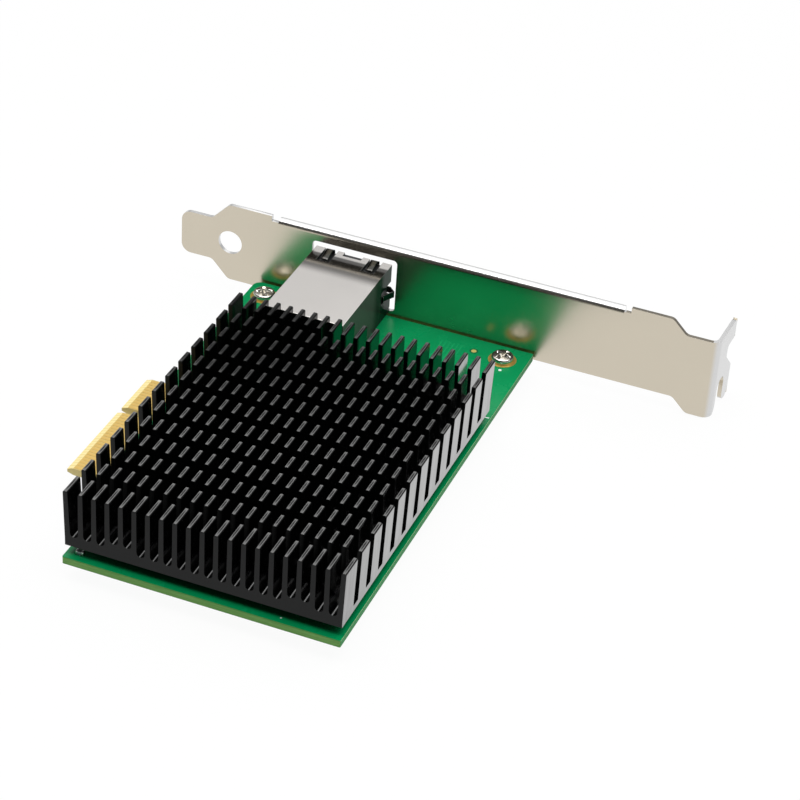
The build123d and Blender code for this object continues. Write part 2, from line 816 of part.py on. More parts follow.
def main():
    os.makedirs("parts", exist_ok=True)
    write("bracket", bracket())
    write("bracket_screws", bracket_screws())
    write("circuit_board", circuit_board())
    write("edge_contacts_component_side", edge_contacts(0.0))
    write("edge_contacts_solder_side", edge_contacts(board_under - contact_thickness))
    write("screw_pads_component_side", screw_pads(0.0))
    write("screw_pads_solder_side", screw_pads(board_under - pad_thickness))
    write("heatsink", heatsink())
    write("heatsink_screws", heatsink_screws())
    write("heatsink_spacers", heatsink_spacers())
    write("heatsink_washers", heatsink_washers())
    write("jack_shield", jack_shield())
    write("jack_housing", jack_housing())
    write("jack_wires", jack_wires())
    write("jack_magnetics", jack_magnetics())
    write("jack_pins", jack_pins())
    write("jack_light_pipes", jack_light_pipes())
    write("controller_chip", controller_chip())
    write("controller_thermal_pad", controller_thermal_pad())
    write("memory_chip", moulded(*from_sink(memory_from_sink), memory_size))
    write("crystal", moulded(*from_sink(crystal_from_sink), crystal_size))
    write("power_inductors", power_inductors())
    write("regulator_chips", [moulded(*from_sink(place), regulator_size) for place in regulators_from_sink])
    write("ceramic_capacitors", [centred(*from_sink(place), capacitor_size, 0)
                                  for place in capacitors_from_sink])
    write("edge_capacitor", edge_capacitor())
    write("rear_capacitors", rear_capacitors())


main()
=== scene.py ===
import math

import bmesh
import bpy
import numpy as np
from mathutils import Matrix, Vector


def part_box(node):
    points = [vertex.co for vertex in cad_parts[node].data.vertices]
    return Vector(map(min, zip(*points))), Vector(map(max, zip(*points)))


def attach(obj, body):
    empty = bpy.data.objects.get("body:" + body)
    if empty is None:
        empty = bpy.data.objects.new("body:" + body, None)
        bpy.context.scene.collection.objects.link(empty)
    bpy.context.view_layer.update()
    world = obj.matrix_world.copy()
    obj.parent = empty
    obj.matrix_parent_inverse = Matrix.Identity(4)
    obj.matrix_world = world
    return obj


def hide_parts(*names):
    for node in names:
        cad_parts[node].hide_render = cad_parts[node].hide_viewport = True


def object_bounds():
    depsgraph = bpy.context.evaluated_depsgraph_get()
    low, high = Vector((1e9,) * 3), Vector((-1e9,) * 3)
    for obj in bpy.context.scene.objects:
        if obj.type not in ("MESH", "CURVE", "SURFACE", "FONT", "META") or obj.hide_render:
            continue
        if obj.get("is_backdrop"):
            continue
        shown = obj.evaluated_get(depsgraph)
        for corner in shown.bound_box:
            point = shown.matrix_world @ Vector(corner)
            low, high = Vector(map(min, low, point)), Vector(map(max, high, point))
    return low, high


bl_info = {
    "name": "Network Interface Card",
    "version": (1, 0, 0),
    "blender": (4, 5, 0),
    "location": "View3D > Sidebar > Network card",
    "description": "Dresses the frame of a network interface card with its pieces and finishes",
    "category": "Add Mesh",
}

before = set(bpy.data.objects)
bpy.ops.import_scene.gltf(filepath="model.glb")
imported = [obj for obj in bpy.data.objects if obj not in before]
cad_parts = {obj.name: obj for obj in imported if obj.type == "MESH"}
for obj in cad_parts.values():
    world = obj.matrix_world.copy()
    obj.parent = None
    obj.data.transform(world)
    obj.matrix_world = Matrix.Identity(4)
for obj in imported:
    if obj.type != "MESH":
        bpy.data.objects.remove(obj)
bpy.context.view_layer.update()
MM = 0.001
# corners nearer together than this are one corner
SAME_PLACE = 1e-7
# the radius that stands for 0 where a turned profile meets its axis
POLE = 0.0005 * MM


# ---- places read from the frame

def node_box(node):
    """The lowest and highest corner of a CAD node, as arrays."""
    low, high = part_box(node)
    return np.array(low), np.array(high)


def mesh_arrays(mesh):
    """The corner places and the triangles of a mesh."""
    places = np.empty(len(mesh.vertices) * 3)
    mesh.vertices.foreach_get("co", places)
    mesh.calc_loop_triangles()
    triangles = np.empty(len(mesh.loop_triangles) * 3, dtype=np.int64)
    mesh.loop_triangles.foreach_get("vertices", triangles)
    return places.reshape(-1, 3), triangles.reshape(-1, 3)


def solid_boxes(node):
    """The box of every separate solid of a node: corners at one place are one corner, and every
    triangle hands the lowest label of its corners on until no label changes."""
    places, triangles = mesh_arrays(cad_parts[node].data)
    corners, index = np.unique(np.round(places, 7), axis=0, return_inverse=True)
    triangles = index.reshape(-1)[triangles]
    label = np.arange(len(corners))
    while True:
        low = np.repeat(label[triangles].min(axis=1), 3)
        spread = label.copy()
        np.minimum.at(spread, triangles.ravel(), low)
        spread = spread[spread]
        if np.array_equal(spread, label):
            break
        label = spread
    names, owner = np.unique(label, return_inverse=True)
    lows = np.full((len(names), 3), np.inf)
    highs = np.full((len(names), 3), -np.inf)
    np.minimum.at(lows, owner, corners)
    np.maximum.at(highs, owner, corners)
    order = np.lexsort((lows[:, 1].round(5), lows[:, 0].round(5)))
    return lows[order], highs[order]


# ---- meshes

def ring_faces(rings, corners):
    """Quads between rings of corners that follow each other: each joins a corner and the next one
    round its ring to the same two of the next ring."""
    ring = np.arange(rings - 1)[:, None] * corners
    after = ring + corners
    corner = np.arange(corners)[None, :]
    beside = (corner + 1) % corners
    quads = [ring + corner, after + corner, after + beside, ring + beside]
    return np.stack(quads, axis=-1).reshape(-1, 4)


def repeated(places, faces, centres):
    """One small mesh set down at many places: corners are the shape's own plus each centre."""
    centres = np.asarray(centres, dtype=float).reshape(-1, 3)
    count = len(places)
    all_places = (places[None, :, :] + centres[:, None, :]).reshape(-1, 3)
    steps = np.arange(len(centres)) * count
    all_faces = [tuple(int(v) + int(step) for v in face) for step in steps for face in faces]
    return all_places, all_faces


def add_piece(name, places, faces, material, replaced=(), sharp=35.0):
    """Makes one object of places and faces, closes its doubles, and lets it ride on the card."""
    mesh = bpy.data.meshes.new(name)
    corners = [tuple(place) for place in np.asarray(places)]
    mesh.from_pydata(corners, [], [tuple(map(int, face)) for face in faces])
    shape = bmesh.new()
    shape.from_mesh(mesh)
    bmesh.ops.remove_doubles(shape, verts=shape.verts, dist=SAME_PLACE)
    bmesh.ops.dissolve_degenerate(shape, edges=shape.edges, dist=SAME_PLACE)
    bmesh.ops.recalc_face_normals(shape, faces=shape.faces)
    shape.to_mesh(mesh)
    shape.free()
    mesh.materials.append(material)
    settle(name, mesh, sharp, replaced)


def settle(name, mesh, sharp, replaced=()):
    """Shades a mesh smooth between its sharp edges and makes it a piece that rides on the card and
    stands for the nodes it replaces."""
    mesh.shade_smooth()
    mesh.set_sharp_from_angle(angle=math.radians(sharp))
    piece = bpy.data.objects.new(name, mesh)
    bpy.context.scene.collection.objects.link(piece)
    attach(piece, "root")
    if replaced:
        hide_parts(*replaced)
    return piece


def softened(node, name, width, material):
    """A copy of a CAD node with its flats made whole and every sharp edge eased to a width."""
    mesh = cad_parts[node].data.copy()
    mesh.name = name
    shape = bmesh.new()
    shape.from_mesh(mesh)
    bmesh.ops.remove_doubles(shape, verts=shape.verts, dist=2 * SAME_PLACE)
    bmesh.ops.dissolve_limit(shape, angle_limit=math.radians(0.4), verts=shape.verts,
                             edges=shape.edges)
    shape.to_mesh(mesh)
    shape.free()
    mesh.materials.clear()
    mesh.materials.append(material)
    piece = settle(name, mesh, 28.0, (node,))
    eased = piece.modifiers.new("eased edges", "BEVEL")
    eased.width = width
    eased.segments = 2
    eased.limit_method = "ANGLE"
    eased.angle_limit = math.radians(40)


def arc(centre_x, centre_z, radius, start, end, steps):
    """Points of an arc: centre plus radius times cosine and sine of evenly spaced angles."""
    angle = np.radians(np.linspace(start, end, steps))
    return np.stack([centre_x + radius * np.cos(angle), centre_z + radius * np.sin(angle)], axis=-1)


def turned(profile, sides, lift=None):
    """A profile of radius and height turned about Z: x and y are the radius times cosine and sine
    of the turn, and z is the height plus what lift gives for that x and y."""
    radius, height = np.asarray(profile, dtype=float).T
    turn = np.linspace(0, 2 * math.pi, sides, endpoint=False)
    x = radius[:, None] * np.cos(turn)
    y = radius[:, None] * np.sin(turn)
    z = height[:, None] + 0 * x
    if lift is not None:
        z = z + lift(x, y, z)
    places = np.stack([x, y, z], axis=-1).reshape(-1, 3)
    return places, [tuple(face) for face in ring_faces(len(radius), sides)]


def rounded_box(size, radius):
    """A box with rounded edges: each corner's eighth of a ball is moved out to its corner, and the
    quads between the eighths are the flat sides. Places are the ball's point times the radius plus
    the sign of its eighth times what is left of the half size."""
    steps = 3
    half = np.asarray(size) / 2 - radius
    quarter = np.linspace(0, math.pi / 2, steps)
    turn = (quarter[None, :] + np.arange(4)[:, None] * math.pi / 2).ravel()
    side_x = np.repeat([1, -1, -1, 1], steps)
    side_y = np.repeat([1, 1, -1, -1], steps)
    rise = np.concatenate([quarter - math.pi / 2, quarter])
    side_z = np.repeat([-1, 1], steps)
    x = radius * np.cos(rise)[:, None] * np.cos(turn) + side_x * half[0]
    y = radius * np.cos(rise)[:, None] * np.sin(turn) + side_y * half[1]
    z = radius * np.sin(rise)[:, None] + side_z[:, None] * half[2] + 0 * x
    places = np.stack([x, y, z], axis=-1).reshape(-1, 3)
    rings, corners = x.shape
    faces = [tuple(face) for face in ring_faces(rings, corners)]
    low = [int(corner) for corner in np.arange(0, corners, steps)]
    high = [corner + (rings - 1) * corners for corner in low]
    return places, faces + [tuple(low[::-1]), tuple(high)]


def strips(paths, width, low, high):
    """Flat strips along paths that all have the same number of points. Each point's two sides lie
    half a width along the mean of the two runs' normals, lengthened so that the width holds, and
    the upper side is narrower by a quarter of the height on each hand."""
    paths = np.asarray(paths, dtype=float)
    runs = np.diff(paths, axis=1)
    runs /= np.linalg.norm(runs, axis=2, keepdims=True)
    before = np.concatenate([runs[:, :1], runs], axis=1)
    after = np.concatenate([runs, runs[:, -1:]], axis=1)
    mean = before + after
    mean /= np.linalg.norm(mean, axis=2, keepdims=True)
    stretch = 1 / np.maximum((mean * after).sum(axis=2, keepdims=True), 0.5)
    normal = np.stack([-mean[..., 1], mean[..., 0]], axis=-1) * stretch
    foot = normal * width / 2
    crown = normal * (width / 2 - abs(high - low) * 0.25)
    count, length = paths.shape[:2]
    places = np.empty((count, length, 4, 3))
    section = ((foot, low), (crown, high), (-crown, high), (-foot, low))
    for corner, (offset, level) in enumerate(section):
        places[:, :, corner, :2] = paths + offset
        places[:, :, corner, 2] = level
    block = length * 4
    first = np.arange(count)[:, None, None] * block
    ends = np.array([[0, 1, 2, 3], [block - 1, block - 2, block - 3, block - 4]])
    faces = (ring_faces(length, 4)[None] + first).reshape(-1, 4)
    ends = (ends[None] + first).reshape(-1, 4)
    return places.reshape(-1, 3), np.concatenate([faces, ends])


# ---- finishes

class Value:
    """One output of a shader node. Arithmetic on it adds Math nodes."""

    def __init__(self, finish, socket):
        self.finish = finish
        self.socket = socket

    def math(self, operation, *others):
        return self.finish.node("ShaderNodeMath", {"operation": operation},
                                dict(enumerate((self,) + others)))

    def __add__(self, other):
        return self.math("ADD", other)

    def __sub__(self, other):
        return self.math("SUBTRACT", other)

    def __mul__(self, other):
        return self.math("MULTIPLY", other)

    def __rsub__(self, other):
        return (self * -1.0) + other

    def __gt__(self, other):
        return self.math("GREATER_THAN", other)

    def __lt__(self, other):
        return self.math("LESS_THAN", other)

    def __abs__(self):
        return self.math("ABSOLUTE")

    __radd__ = __add__
    __rmul__ = __mul__

    def larger(self, other):
        return self.math("MAXIMUM", other)

    def ramp(self, low, high):
        """0 below low, 1 above high, and smooth between."""
        return self.finish.node("ShaderNodeMapRange", {"interpolation_type": "SMOOTHSTEP"},
                                {"Value": self, "From Min": low, "From Max": high})


class Finish:
    """A material, or the world, while its nodes are being made."""

    def __init__(self, owner):
        self.owner = owner
        owner.use_nodes = True
        self.tree = owner.node_tree
        self.tree.nodes.clear()

    def node(self, kind, settings=None, inputs=None, output=0):
        """Adds a node of a kind, with its settings first and then its sockets' values or links."""
        node = self.tree.nodes.new(kind)
        for name, value in (settings or {}).items():
            setattr(node, name, value)
        for name, value in (inputs or {}).items():
            socket = node.inputs[name]
            if isinstance(value, Value):
                self.tree.links.new(value.socket, socket)
            elif isinstance(value, (tuple, list)) and len(value) == 3 and socket.type == "RGBA":
                socket.default_value = (*value, 1.0)
            else:
                socket.default_value = value
        return Value(self, node.outputs[output])

    def place(self):
        """The point in millimetres in the card's frame."""
        here = self.node("ShaderNodeTexCoord", output="Object")
        return self.node("ShaderNodeVectorMath", {"operation": "SCALE"}, {0: here, "Scale": 1000.0})

    def parts(self, vector):
        """The three numbers of a vector."""
        split = self.node("ShaderNodeSeparateXYZ", None, {0: vector})
        return [Value(self, split.socket.node.outputs[k]) for k in range(3)]

    def facing(self):
        """How far the surface faces along each axis, whichever way it points."""
        normal = self.node("ShaderNodeTexCoord", output="Normal")
        return [abs(part) for part in self.parts(normal)]

    def stretched(self, vector, scale):
        """A vector with each part scaled by its own amount."""
        return self.node("ShaderNodeVectorMath", {"operation": "MULTIPLY"}, {0: vector, 1: scale})

    def noise(self, vector, scale, detail, rough):
        """Soft random variation from 0 to 1."""
        return self.node("ShaderNodeTexNoise", None,
                         {"Vector": vector, "Scale": scale, "Detail": detail, "Roughness": rough})

    def mix(self, factor, first, second):
        """A colour between two colours."""
        return self.node("ShaderNodeMix", {"data_type": "RGBA"},
                         {0: factor, 6: first, 7: second}, output=2)

    def bump(self, height, depth):
        """A bump whose height runs from 0 to 1 over a depth in millimetres."""
        return self.node("ShaderNodeBump", None,
                         {"Height": height, "Distance": depth * MM, "Strength": 1.0})

    def close(self, **sockets):
        """Ends the material in its shader; sockets are named with _ for spaces."""
        inputs = {name.replace("_", " "): value for name, value in sockets.items()}
        return self.end(self.node("ShaderNodeBsdfPrincipled", None, inputs))

    def end(self, surface, kind="ShaderNodeOutputMaterial"):
        """Joins a shader to the output."""
        output = self.tree.nodes.new(kind)
        self.tree.links.new(surface.socket, output.inputs["Surface"])
        return self.owner


def new_finish(name):
    """An empty material to be made."""
    return Finish(bpy.data.materials.new(name))


def scaled_tint(tint, share):
    """A colour with each of its parts scaled by a share."""
    return tuple(share * part for part in tint)


def anodised_finish(looks):
    """Black anodised extrusion. Drawn sides are glossiest on the far fin, and duller between the
    fins towards their foot, where the gaps' floors catch the light again. Sawn faces are matt. Each
    tip has light lines where it rounds over, partly wear and partly a painted highlight. Painted
    shade fades them towards the bracket, where the tips are darker in colour and by a share of
    metal, most at low X.
    """
    finish = new_finish("black_anodised")
    here = finish.place()
    across, along, up = finish.facing()
    x, y, height = finish.parts(here)
    far_x, far_y, top = node_box("heatsink")[1] / MM
    # millimetres in from the far side and end: one fin, three fins and the end row
    one_fin, three_fins, end_row = 1.6, 6.5, 5.3
    outer = (x > far_x - one_fin).larger((x > far_x - three_fins) * (y > far_y - end_row))
    grain = finish.noise(finish.stretched(here, (5.0, 4.0, 5.0)), 1.0, 3.0, 0.7)
    saw = finish.noise(finish.stretched(here, (1.5, 1.0, 14.0)), 1.0, 2.0, 0.6)
    streak = finish.noise(finish.stretched(here, (0.5, 0.9, 0.10)), 1.0, 2.0, 0.5)
    side = across.ramp(0.80, 0.97)
    sawn = along.ramp(0.6, 0.9)
    tip = (height > top - 0.30) * (1.0 - sawn)
    flat = up.ramp(0.85, 0.98) * tip
    # painted shade: the tips' colour and their lines darken towards the bracket, most at low X
    shade = y.ramp(-25.0, 17.0) * (1.0 - x.ramp(20.0, 55.0) * 0.6)
    unshaded_share = 1.0 - shade * 0.85
    # lines along the tips' rounding: partly wear, partly a painted highlight
    wear_and_sheen = up.ramp(0.87, 0.95) * (1.0 - up.ramp(0.980, 0.998)) * tip * unshaded_share
    tone = finish.mix(sawn, (0.0012, 0.0013, 0.0014), (0.0022, 0.0026, 0.0026))
    tone = finish.mix(flat * (grain * 0.8 + 0.35) * unshaded_share, tone, tuple(looks.tip))
    tone = finish.mix(wear_and_sheen * (grain * 0.6 + 0.5), tone, tuple(looks.wear_and_sheen))
    deep = (1.0 - height.ramp(4.5, 9.0)) * side
    rough = sawn * 0.16 + tip * 0.14 + deep * (1.0 - outer) * 0.35 + grain * 0.04 + 0.10
    relief = saw * sawn * 0.6 + grain * flat * 0.5 + saw * side * outer * 0.06
    gloss = height.ramp(3.5, 11.0) * 0.24
    gloss = gloss + outer * ((streak * 0.5 + y.ramp(-52.0, -25.0) * 0.3 + 0.45) - gloss)
    gap_floor = up.ramp(0.90, 0.99) * (height > 3.6) * (height < 7.0)
    # the tips' metal share is painted shade as well: it darkens them towards the bracket
    return finish.close(Base_Color=tone, Roughness=rough, IOR=1.29, Metallic=tip * shade * 0.85,
                        Coat_Weight=side * gloss * (1.0 - tip) + gap_floor, Coat_IOR=2.0,
                        Coat_Roughness=0.06, Normal=finish.bump(relief, 0.010))


def nickel_finish(name, tint, rough, grain_way, sheared=None, nose=None):
    """Satin nickel over steel sheet: rolling grain one way and a faint cloudy tone. With sheared,
    edges between two places along X are darker, and what turns away from Y is a plain grey, a
    painted reflection. With nose, painted shade darkens the sheet between two places along Y, apart
    from its tabs, near black on top, and what faces along X has a dark green, a painted reflection
    of the board, and is not metal there."""
    finish = new_finish(name)
    here = finish.place()
    x, y, z = finish.parts(here)
    across, along, up = finish.facing()
    grain = finish.noise(finish.stretched(here, grain_way), 1.0, 3.0, 0.6)
    cloud = finish.noise(here, 0.07, 2.0, 0.5)
    tone = finish.mix(cloud, scaled_tint(tint, 0.93), tint)
    metal = 1.0
    if sheared:
        edge = (1.0 - along).ramp(0.5, 0.8) * (x > sheared[0]) * (x < sheared[1])
        # painted reflection: what turns away from Y takes a plain grey
        tone = finish.mix((across + up).ramp(0.3, 0.8), tone, (0.66, 0.66, 0.66))
        tone = finish.mix(edge, tone, scaled_tint(tint, 0.35))
    if nose:
        top = 11.75
        tabs = y.ramp(55.4, 56.1) * (z > 9.0) * (z < top)
        # painted shade: the sheet darkens towards the bracket, apart from its tabs, and is near
        # black on top there
        dark = y.ramp(*nose) * (1.0 - tabs)
        # painted reflection: what faces along X is a dark green, the board seen in it, and not
        # metal
        flank = across.ramp(0.7, 0.9) * (y.ramp(nose[0] + 4.4, nose[1] + 2.8) * 0.12 + 0.88)
        tone = finish.mix(dark, tone, scaled_tint(tint, 0.22))
        tone = finish.mix((z > top) * 0.7 * dark, tone, (0.006, 0.009, 0.007))
        tone = finish.mix(flank, tone, (0.004, 0.034, 0.017))
        metal = 1.0 - flank
    shown = 1.0 - up.ramp(0.3, 0.8)
    return finish.close(Base_Color=tone, Metallic=metal, IOR=1.1,
                        Roughness=grain * 0.05 + (rough + cloud * 0.03),
                        Normal=finish.bump(grain * shown, 0.0001))


def metal_finish(name, tint, rough):
    """Small bright metal: a little uneven in tone and gloss."""
    finish = new_finish(name)
    fleck = finish.noise(finish.place(), 5.0, 3.0, 0.6)
    tone = finish.mix(fleck, scaled_tint(tint, 0.85), tint)
    return finish.close(Base_Color=tone, Metallic=1.0, Roughness=fleck * 0.12 + rough,
                        Normal=finish.bump(fleck, 0.004))


def plastic_finish(name, tint, rough, grain=6.0, depth=0.006, coat=0.0):
    """Moulded plastic or epoxy with a fine spark grain."""
    finish = new_finish(name)
    spark = finish.noise(finish.place(), grain, 3.0, 0.65)
    tone = finish.mix(spark, scaled_tint(tint, 0.82), tint)
    return finish.close(Base_Color=tone, Roughness=spark * 0.12 + rough, Coat_Weight=coat,
                        Normal=finish.bump(spark, depth))


def spot(x, y, centre, radius):
    """1 inside a round spot in plan, 0 outside."""
    away_x = x - centre[0]
    away_y = y - centre[1]
    return (away_x * away_x + away_y * away_y) < radius * radius


def laminate_finish(looks):
    """The board: green mask over copper on its faces, bare layered laminate on its edges, with
    painted shade and a painted highlight where they face along X, a bare card edge with plated
    stripes on its bevel, and a few gold, printed and pale marks."""
    finish = new_finish("green_laminate")
    here = finish.place()
    x, y, z = finish.parts(here)
    across, _, up = finish.facing()
    flat = up.ramp(0.93, 0.97)
    cloud = finish.noise(here, 0.22, 3.0, 0.55)
    weave = finish.noise(finish.stretched(here, (3.0, 3.0, 3.0)), 1.0, 2.0, 0.5)
    layer = finish.noise(finish.stretched(here, (0.15, 0.15, 7.0)), 1.0, 2.0, 0.5)
    mask = finish.mix(cloud, tuple(looks.mask_dark), tuple(looks.mask_light))
    # edges: pale layers between darker ones; where they face along X, painted shade makes them a
    # deeper green and one pale line on them is a painted highlight
    side = across.ramp(0.7, 0.95)
    rim = finish.mix(layer.ramp(0.35, 0.65), (0.130, 0.320, 0.070), (0.190, 0.400, 0.105))
    rim = finish.mix((z > -0.22) + (z < -1.40), rim, (0.090, 0.280, 0.060))
    # painted shade: X-facing edges a deeper green
    rim = finish.mix(side, rim, (0.040, 0.255, 0.075))
    # painted highlight: a pale line along the top of the X-facing edges
    rim = finish.mix((z > -0.20) * (z < -0.06) * side, rim, (0.380, 0.640, 0.300))
    tone = finish.mix(flat, rim, mask)
    # card edge: bare laminate, with the contacts' plating carried over its bevel
    lows, highs = solid_boxes("edge_contacts_component_side")
    middle = (lows[0, 1] + highs[0, 1]) / 2 / MM
    plated = abs((y - (middle - 0.5)).math("FRACT") - 0.5) < 0.34
    tongue = (x < 7.4) * (y < 12.4)
    tone = finish.mix(tongue, tone, finish.mix(weave, (0.56, 0.42, 0.14), (0.66, 0.50, 0.19)))
    tone = finish.mix(tongue * (1.0 - flat), tone, (0.78, 0.64, 0.28))
    tone = finish.mix(tongue * plated * (1.0 - flat) * (x < 1.35), tone, (0.90, 0.76, 0.38))
    # marks: one gold spot in a cleared ring, two printed dots and a pale dash
    upper = z > -0.5
    fiducial = (56.4, 52.0)
    ring = spot(x, y, fiducial, 0.95) - spot(x, y, fiducial, 0.62)
    tone = finish.mix(ring * upper, tone, (0.004, 0.115, 0.045))
    tone = finish.mix(spot(x, y, fiducial, 0.55) * upper, tone, (0.55, 0.46, 0.13))
    dots = (spot(x, y, (63.8, 47.7), 0.35) + spot(x, y, (55.9, -46.1), 0.2)) * upper
    dash = (abs(x - 67.1) < 0.75) * (abs(y - 30.2) < 0.16) * upper
    tone = finish.mix(dots.larger(dash), tone, (0.80, 0.88, 0.84))
    rough = cloud * 0.06 + 0.24 + (1.0 - flat) * 0.32 + tongue * flat * 0.2
    relief = weave * 0.25 + layer * (1.0 - flat)
    return finish.close(Base_Color=tone, Roughness=rough, IOR=1.30,
                        Normal=finish.bump(relief, 0.012))


def mask_finish(looks):
    """Copper under the green mask: the board's own green, a step lighter."""
    finish = new_finish("masked_copper")
    cloud = finish.noise(finish.place(), 0.22, 3.0, 0.55)
    light = tuple(looks.mask_light)
    tone = finish.mix(cloud, tuple(1.12 * part + 0.006 for part in light),
                      tuple(1.35 * part + 0.012 for part in light))
    return finish.close(Base_Color=tone, Roughness=cloud * 0.05 + 0.22, IOR=1.38)


finishes = {}

# each: the material's name, its colour and its roughness
METALS = {
    "screw": ("screw_nickel", (0.74, 0.72, 0.66), 0.16),
    "ring": ("ring_gold", (0.95, 0.66, 0.19), 0.36),
    "tin": ("solder_tin", (0.72, 0.72, 0.71), 0.22),
}
# each: the material's name, its colour and its roughness, then its grain, its depth and its coat
PLASTICS = {
    "housing": ("housing_black", (0.014, 0.014, 0.015), 0.38),
    "potting": ("potting_black", (0.020, 0.020, 0.022), 0.45),
    "epoxy": ("chip_epoxy", (0.022, 0.022, 0.023), 0.48, 8.0, 0.01),
    "ferrite": ("ferrite_grey", (0.080, 0.080, 0.083), 0.55, 5.0, 0.02),
    "ceramic": ("ceramic_tan", (0.42, 0.30, 0.18), 0.35, 6.0, 0.004),
    "glass": ("ceramic_grey", (0.30, 0.34, 0.36), 0.30, 6.0, 0.004),
    "nylon": ("washer_nylon", (0.70, 0.68, 0.60), 0.42),
    "pad": ("thermal_pad", (0.30, 0.33, 0.37), 0.70, 4.0, 0.02),
    "print": ("board_print", (0.72, 0.74, 0.70), 0.55, 9.0, 0.003),
    "light": ("light_pipe", (0.66, 0.70, 0.62), 0.16, 3.0, 0.002, 0.6),
}


def make_finishes(looks):
    """Makes every finish of the card, by the name that the pieces ask for."""
    finishes["anodised"] = anodised_finish(looks)
    finishes["nickel"] = nickel_finish("satin_nickel", tuple(looks.bracket), 0.22, (0.3, 5.0, 5.0),
                                       sheared=(86.5, 105.4))
    finishes["shield"] = nickel_finish("tinned_sheet", tuple(looks.shield), 0.10, (7.0, 0.4, 7.0),
                                       nose=(47.4, 51.2))
    finishes["gold"] = metal_finish("contact_gold", tuple(looks.gold), 0.24)
    finishes["laminate"] = laminate_finish(looks)
    finishes["trace"] = mask_finish(looks)
    for name, values in METALS.items():
        finishes[name] = metal_finish(*values)
    for name, values in PLASTICS.items():
        finishes[name] = plastic_finish(*values)


def dress(node, finish):
    """Gives a CAD node its finish."""
    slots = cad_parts[node].data.materials
    slots.clear()
    slots.append(finishes[finish])


# ---- pieces

def length_setting(name, about, value):
    """A length that can be changed, given here in millimetres."""
    return bpy.props.FloatProperty(name=name, description=about, default=value * MM, unit="LENGTH")


def colour_setting(name, about, value):
    """A colour that can be changed."""
    return bpy.props.FloatVectorProperty(name=name, description=about, default=value,
                                         subtype="COLOR")


class NIC_PG_looks(bpy.types.PropertyGroup):
    """Colours of the card."""
    mask_dark: colour_setting("Mask, dark", "Green mask over bare laminate", (0.0002, 0.228, 0.070))
    mask_light: colour_setting("Mask, light", "Green mask over copper", (0.0003, 0.280, 0.090))
    bracket: colour_setting("Bracket", "Satin nickel of the bracket", (0.64, 0.58, 0.475))
    shield: colour_setting("Shield", "Tinned sheet of the socket's shield", (0.80, 0.77, 0.74))
    gold: colour_setting("Gold", "Card-edge contacts", (0.72, 0.49, 0.15))
    tip: colour_setting("Tip", "Sawn tips of the fins", (0.014, 0.014, 0.014))
    # the tips' lines: partly wear, partly a painted highlight along their rounding
    wear_and_sheen: colour_setting("Worn line", "Worn lines along the tips", (0.17, 0.17, 0.168))


class NIC_OT_finishes(bpy.types.Operator):
    """Makes the card's finishes"""
    bl_idname = "nic.finishes"
    bl_label = "Finishes"

    def execute(self, context):
        make_finishes(context.scene.nic_looks)
        return {"FINISHED"}


class NIC_PG_heatsink(bpy.types.PropertyGroup):
    """Sizes of the finned heat sink."""
    fins: bpy.props.IntProperty(name="Fins", description="Number of fins", default=21, min=3)
    rows: bpy.props.IntProperty(name="Rows", description="Number of rows", default=13, min=2)
    pitch: length_setting("Pitch", "From one fin to the next", 2.72)
    thickness: length_setting("Fin thickness", "Thickness of a fin at its root", 1.05)
    draft: length_setting("Draft", "How much a fin thins towards its tip, each side", 0.06)
    lean: length_setting("Lean", "How far the outermost fins' tips lean outwards", 0.35)
    tip: length_setting("Tip radius", "Rounding along a fin's tip", 0.34)
    root: length_setting("Root radius", "Rounding in the gaps' corners", 0.80)
    floor: length_setting("Gap floor", "From the underside to the gaps' floor", 2.2)
    rib_floor: length_setting("Rib floor", "The same beside the screws", 3.35)
    saw_floor: length_setting("Saw floor", "From the underside to the cross cuts' floor", 1.3)
    row: length_setting("Row length", "Length of an inner row", 3.70)
    end_row: length_setting("End row length", "Length of the first and last row", 5.175)
    cut: length_setting("Cut width", "Width of a cross cut", 2.10)
    edge: length_setting("Edge", "Easing of a tip's sawn ends", 0.16)


# the gaps over the ribs that the heat sink's screws enter, counted from the card edge
RIB_GAPS = [3, 4, 16, 17]


def toward(start, end, share):
    """Points a small share of the way from each start to its end."""
    return (start + (end - start) * share)[:, None]


